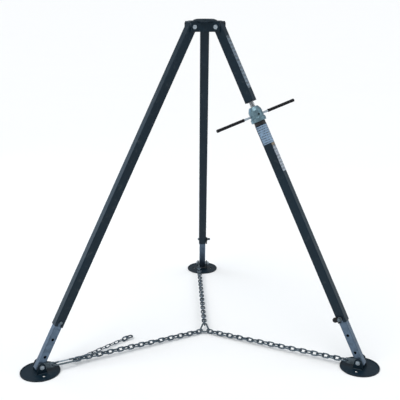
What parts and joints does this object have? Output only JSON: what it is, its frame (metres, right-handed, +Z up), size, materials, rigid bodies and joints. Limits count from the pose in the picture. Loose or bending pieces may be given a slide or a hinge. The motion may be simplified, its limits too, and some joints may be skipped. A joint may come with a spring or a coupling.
{
  "type": "king pin tripod stand",
  "caption": "Folding steel tripod stand with telescopic square legs, round tilting feet, a screw-jack leg with sliding T handle, a king-pin collar and spreader chains.",
  "frame": {"origin": "centre of the king-pin bore at the head plate's top face", "axes": "+Z up along the king-pin bore, +Y towards the back leg, -Y between the two front legs"},
  "size_m": [1.1541, 1.0255, 1.0854],
  "materials": {
    "powder_coat": "satin blue-black powder coat",
    "tube_zinc": "zinc-plated drawn tube",
    "bright_zinc": "bright zinc plate",
    "hub_zinc": "zinc-plated casting",
    "screw_steel": "oiled machined steel",
    "chain_zinc": "dull zinc-plated twisted link chain",
    "grip_rubber": "matt black rubber",
    "pin_vinyl": "dipped black vinyl",
    "black_oxide": "black oxide"
  },
  "bodies": {
    "head": {"head_plate": "powder_coat", "king_pin_collar": "powder_coat", "skirt_front": "powder_coat", "skirt_back_right": "powder_coat", "skirt_back_left": "powder_coat", "head_bolts": "bright_zinc", "head_nuts": "bright_zinc", "pivot_washers": "bright_zinc"},
    "left_leg": {"left_outer_tube": "powder_coat"},
    "back_leg": {"back_outer_tube": "powder_coat"},
    "right_leg": {"right_upper_tube": "powder_coat", "jack_nut": "powder_coat"},
    "right_jack_leg": {"right_lower_tube": "powder_coat", "jack_bearing_plug": "black_oxide", "jack_thrust_collar": "black_oxide"},
    "jack": {"jack_hub": "hub_zinc", "jack_screw": "screw_steel", "jack_retaining_ring": "black_oxide"},
    "handle": {"jack_handle_bar": "bright_zinc", "handle_grip_left": "grip_rubber", "handle_grip_right": "grip_rubber"},
    "ring": {"delta_ring": "bright_zinc"},
    "chain_tail": {"chain_tail": "chain_zinc"},
    "hook_gate": {"snap_hook_gate": "bright_zinc"},
    "left_lower": {"left_inner_tube": "tube_zinc", "left_foot_bolt": "bright_zinc", "left_foot_nut": "bright_zinc"},
    "left_pin": {"left_lock_pin": "bright_zinc", "left_pin_grip": "pin_vinyl"},
    "left_foot": {"left_foot_pad": "powder_coat", "left_foot_bracket": "powder_coat"},
    "left_lug": {"left_chain_lug": "bright_zinc", "snap_hook": "bright_zinc"},
    "left_arm": {"left_chain": "chain_zinc"},
    "right_lower": {"right_inner_tube": "tube_zinc", "right_foot_bolt": "bright_zinc", "right_foot_nut": "bright_zinc"},
    "right_pin": {"right_lock_pin": "bright_zinc", "right_pin_grip": "pin_vinyl"},
    "right_foot": {"right_foot_pad": "powder_coat", "right_foot_bracket": "powder_coat"},
    "right_lug": {"right_chain_lug": "bright_zinc", "right_chain_lead": "chain_zinc"},
    "right_arm": {"right_chain": "chain_zinc"},
    "back_lower": {"back_inner_tube": "tube_zinc", "back_foot_bolt": "bright_zinc", "back_foot_nut": "bright_zinc"},
    "back_pin": {"back_lock_pin": "bright_zinc", "back_pin_grip": "pin_vinyl"},
    "back_foot": {"back_foot_pad": "powder_coat", "back_foot_bracket": "powder_coat"},
    "back_lug": {"back_chain_lug": "bright_zinc", "back_chain_lead": "chain_zinc"},
    "back_arm": {"back_chain": "chain_zinc"}
  },
  "joints": [
    {"name": "left_leg_fold", "type": "hinge", "parent": "head", "child": "left_leg", "pos_m": [-0.0449, -0.02593, -0.0175], "axis": [0.5, -0.866, 0], "range_deg": [0, 25.08]},
    {"name": "right_leg_fold", "type": "hinge", "parent": "head", "child": "right_leg", "pos_m": [0.0449, -0.02593, -0.0175], "axis": [0.5, 0.866, 0], "range_deg": [0, 23.41]},
    {"name": "back_leg_fold", "type": "hinge", "parent": "head", "child": "back_leg", "pos_m": [0, 0.05185, -0.0175], "axis": [-1, 0, 0], "range_deg": [0, 24.24]},
    {"name": "jack_turn", "type": "hinge", "parent": "right_jack_leg", "child": "jack", "pos_m": [0.0449, -0.02593, -0.0175], "axis": [0.39, -0.2252, -0.8929], "range_deg": [-850.39, 8149.61]},
    {"name": "jack_extension", "type": "slide", "parent": "right_leg", "child": "right_jack_leg", "axis": [0.39, -0.2252, -0.8929], "range_m": [-0.01201, 0.11501]},
    {"name": "handle_slide", "type": "slide", "parent": "jack", "child": "handle", "axis": [0.8881, 0.348, 0.3001], "range_m": [-0.015, 0.018]},
    {"name": "left_leg_extension", "type": "slide", "parent": "left_leg", "child": "left_lower", "axis": [-0.4119, -0.2378, -0.8797], "range_m": [0, 0.121]},
    {"name": "left_pin_pull", "type": "slide", "parent": "left_lower", "child": "left_pin", "axis": [-0.5, 0.866, 0], "range_m": [0, 0.055]},
    {"name": "left_foot_tilt", "type": "hinge", "parent": "left_lower", "child": "left_foot", "pos_m": [-0.52983, -0.3059, -1.0532], "axis": [0.5, -0.866, 0], "range_deg": [-6, 6]},
    {"name": "left_lug_swing", "type": "hinge", "parent": "left_lower", "child": "left_lug", "pos_m": [-0.52983, -0.3059, -1.0532], "axis": [-0.5, 0.866, 0], "range_deg": [0, 1.01]},
    {"name": "left_chain_hang", "type": "hinge", "parent": "left_lug", "child": "left_arm", "pos_m": [-0.42379, -0.26417, -1.058], "axis": [-0.4782, 0.8782, -0.0111], "range_deg": [0, 112.7], "deforming": ["left_chain"]},
    {"name": "right_leg_extension", "type": "slide", "parent": "right_jack_leg", "child": "right_lower", "axis": [0.39, -0.2252, -0.8929], "range_m": [0, 0.121]},
    {"name": "right_pin_pull", "type": "slide", "parent": "right_lower", "child": "right_pin", "axis": [-0.5, -0.866, 0], "range_m": [0, 0.055]},
    {"name": "right_foot_tilt", "type": "hinge", "parent": "right_lower", "child": "right_foot", "pos_m": [0.49727, -0.2871, -1.0532], "axis": [0.5, 0.866, 0], "range_deg": [-6, 6]},
    {"name": "right_lug_swing", "type": "hinge", "parent": "right_lower", "child": "right_lug", "pos_m": [0.49727, -0.2871, -1.0532], "axis": [-0.5, -0.866, 0], "range_deg": [0, 1.01]},
    {"name": "right_chain_hang", "type": "hinge", "parent": "right_lug", "child": "right_arm", "pos_m": [0.40246, -0.25161, -1.05781], "axis": [-0.4766, -0.8791, 0.011], "range_deg": [0, 110.91], "deforming": ["right_chain"]},
    {"name": "back_leg_extension", "type": "slide", "parent": "back_leg", "child": "back_lower", "axis": [0, 0.4628, -0.8864], "range_m": [0, 0.121]},
    {"name": "back_pin_pull", "type": "slide", "parent": "back_lower", "child": "back_pin", "axis": [1, 0, 0], "range_m": [0, 0.055]},
    {"name": "back_foot_tilt", "type": "hinge", "parent": "back_lower", "child": "back_foot", "pos_m": [0, 0.5926, -1.0532], "axis": [-1, 0, 0], "range_deg": [-6, 6]},
    {"name": "back_lug_swing", "type": "hinge", "parent": "back_lower", "child": "back_lug", "pos_m": [0, 0.5926, -1.0532], "axis": [1, 0, 0], "range_deg": [0, 1.01]},
    {"name": "back_chain_hang", "type": "hinge", "parent": "back_lug", "child": "back_arm", "pos_m": [-0.01334, 0.49272, -1.05633], "axis": [0.9996, 0.0268, 0.0115], "range_deg": [0, 113.1], "deforming": ["back_chain"]},
    {"name": "tail_hang", "type": "hinge", "parent": "left_lug", "child": "chain_tail", "pos_m": [-0.43191, -0.24924, -1.0702], "axis": [-0.7024, 0.7024, 0.1149], "range_deg": [0, 113.22], "deforming": ["chain_tail"]},
    {"name": "ring_drop", "type": "slide", "parent": "head", "child": "ring", "axis": [0, 0, -1], "range_m": [0, 0.55385]},
    {"name": "hook_gate_swing", "type": "hinge", "parent": "left_lug", "child": "hook_gate", "pos_m": [-0.4752, -0.2819, -1.05671], "axis": [-0.0212, -0.0115, -0.9997], "range_deg": [0, 14], "stiffness_Nm_per_rad": 0.02, "springref_deg": -17.19}
  ],
  "couplings": [
    {"joint": "right_leg_fold", "follows": "left_leg_fold", "ratio": 0.93286},
    {"joint": "back_leg_fold", "follows": "left_leg_fold", "ratio": 0.96595},
    {"joint": "jack_extension", "follows": "jack_turn", "m_per_rad": 0.00080851},
    {"joint": "left_lug_swing", "follows": "left_leg_fold", "ratio": 0.039873},
    {"joint": "left_chain_hang", "follows": "left_leg_fold", "ratio": 4.4933},
    {"joint": "right_lug_swing", "follows": "left_leg_fold", "ratio": 0.039873},
    {"joint": "right_chain_hang", "follows": "left_leg_fold", "ratio": 4.422},
    {"joint": "back_lug_swing", "follows": "left_leg_fold", "ratio": 0.039873},
    {"joint": "back_chain_hang", "follows": "left_leg_fold", "ratio": 4.5094},
    {"joint": "tail_hang", "follows": "left_leg_fold", "ratio": 4.514},
    {"joint": "ring_drop", "follows": "left_leg_fold", "m_per_rad": 1.2653}
  ]
}
